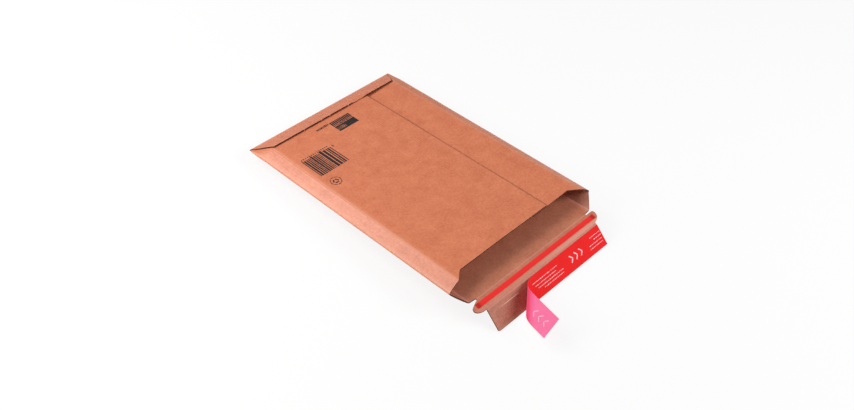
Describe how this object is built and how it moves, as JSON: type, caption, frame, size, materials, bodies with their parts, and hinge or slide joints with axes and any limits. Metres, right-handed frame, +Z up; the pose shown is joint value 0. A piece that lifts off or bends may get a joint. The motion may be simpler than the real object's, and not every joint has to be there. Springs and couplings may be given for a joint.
{
  "type": "book mailer box",
  "caption": "Rigid corrugated board mailing envelope, popped open, with a folding closing flap, tear tape, adhesive strip and half-peeled release liner.",
  "frame": {"origin": "middle of the bounding box's base, on the surface the mailer rests on", "axes": "+Z up, +Y from the mouth and closing flap towards the closed far end, +X across the mouth"},
  "size_m": [0.25, 0.4514, 0.0449],
  "materials": {
    "kraft_board": "matt uncoated kraft corrugated board",
    "tear_tape": "smooth film",
    "adhesive": "clear glossy pressure-sensitive adhesive",
    "liner": "glossy silicone-coated paper, pink on its back"
  },
  "bodies": {
    "pocket": {"pocket": "kraft_board"},
    "band": {"flap_band": "kraft_board", "tear_tape": "tear_tape"},
    "tongue": {"flap_tongue": "kraft_board", "adhesive_strip": "adhesive", "release_liner": "liner", "liner_tail": "liner"}
  },
  "joints": [
    {"name": "flap_hinge", "type": "hinge", "parent": "pocket", "child": "band", "pos_m": [0, -0.1392, 0.02242], "axis": [-1, 0, 0], "range_deg": [-30, 104]},
    {"name": "flap_fold", "type": "hinge", "parent": "band", "child": "tongue", "pos_m": [0, -0.15597, 0.01933], "axis": [-1, 0, 0], "range_deg": [-45, 100], "deforming": ["liner_tail"]}
  ]
}
